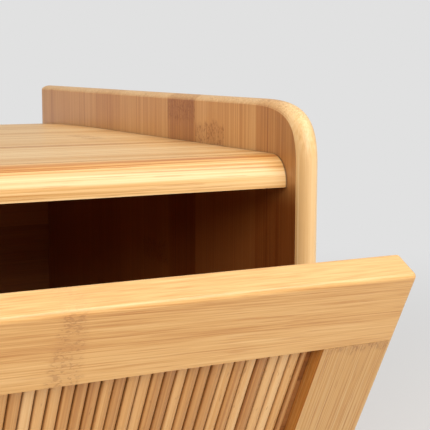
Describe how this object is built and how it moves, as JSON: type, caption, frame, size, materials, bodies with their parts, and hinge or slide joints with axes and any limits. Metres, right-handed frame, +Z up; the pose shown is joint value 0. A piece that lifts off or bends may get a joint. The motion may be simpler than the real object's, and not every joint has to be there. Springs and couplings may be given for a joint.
{
  "type": "bread box",
  "caption": "Bamboo bread box with a shelf top between raised side panels and a framed, reeded door that drops forward on pins.",
  "frame": {"origin": "middle of the space the box takes on the counter with its door ajar, at the level of the feet", "axes": "+X to the right of someone facing the door, +Y from the door to the back, +Z up"},
  "size_m": [0.4, 0.3604, 0.1935],
  "materials": {
    "bamboo_panel": "clear satin lacquer on caramel bamboo, upright strips",
    "bamboo_shelf": "clear satin lacquer on light caramel bamboo, strips from side to side",
    "bamboo_inner": "thin matte lacquer on bamboo",
    "bamboo_frame": "clear satin lacquer on light bamboo",
    "bamboo_reed": "half-round bamboo reeds of mixed light and caramel tone, satin",
    "dowel_wood": "bare wood",
    "screw_steel": "zinc-plated steel",
    "pin_steel": "plain steel",
    "foot_rubber": "soft matte black rubber",
    "washer_nylon": "natural nylon"
  },
  "bodies": {
    "cabinet": {"side_panel_left": "bamboo_panel", "side_panel_right": "bamboo_panel", "top_shelf": "bamboo_shelf", "bottom_board": "bamboo_inner", "back_panel": "bamboo_inner", "screw_shelf_front_left": "screw_steel", "screw_shelf_front_right": "screw_steel", "screw_shelf_back_left": "screw_steel", "screw_shelf_back_right": "screw_steel", "screw_bottom_front_left": "screw_steel", "screw_bottom_front_right": "screw_steel", "screw_bottom_back_left": "screw_steel", "screw_bottom_back_right": "screw_steel", "rubber_foot_front_left": "foot_rubber", "rubber_foot_front_right": "foot_rubber", "rubber_foot_back_left": "foot_rubber", "rubber_foot_back_right": "foot_rubber"},
    "door": {"door_top_rail": "bamboo_frame", "door_bottom_rail": "bamboo_frame", "door_stile_left": "bamboo_frame", "door_stile_right": "bamboo_frame", "door_backing_board": "bamboo_inner", "reed_strip_1": "bamboo_reed", "reed_strip_2": "bamboo_reed", "reed_strip_3": "bamboo_reed", "reed_strip_4": "bamboo_reed", "reed_strip_5": "bamboo_reed", "reed_strip_6": "bamboo_reed", "reed_strip_7": "bamboo_reed", "reed_strip_8": "bamboo_reed", "reed_strip_9": "bamboo_reed", "door_dowel_top_left_inner": "dowel_wood", "door_dowel_top_left_outer": "dowel_wood", "door_dowel_top_right_inner": "dowel_wood", "door_dowel_top_right_outer": "dowel_wood", "door_dowel_bottom_left_inner": "dowel_wood", "door_dowel_bottom_left_outer": "dowel_wood", "door_dowel_bottom_right_inner": "dowel_wood", "door_dowel_bottom_right_outer": "dowel_wood", "hinge_pin_left": "pin_steel", "hinge_pin_right": "pin_steel", "hinge_washer_left": "washer_nylon", "hinge_washer_right": "washer_nylon"}
  },
  "joints": [
    {"name": "door_hinge", "type": "hinge", "parent": "cabinet", "child": "door", "pos_m": [0, -0.10315, 0.0128], "axis": [1, 0, 0], "range_deg": [-27.7, 62.3]}
  ]
}
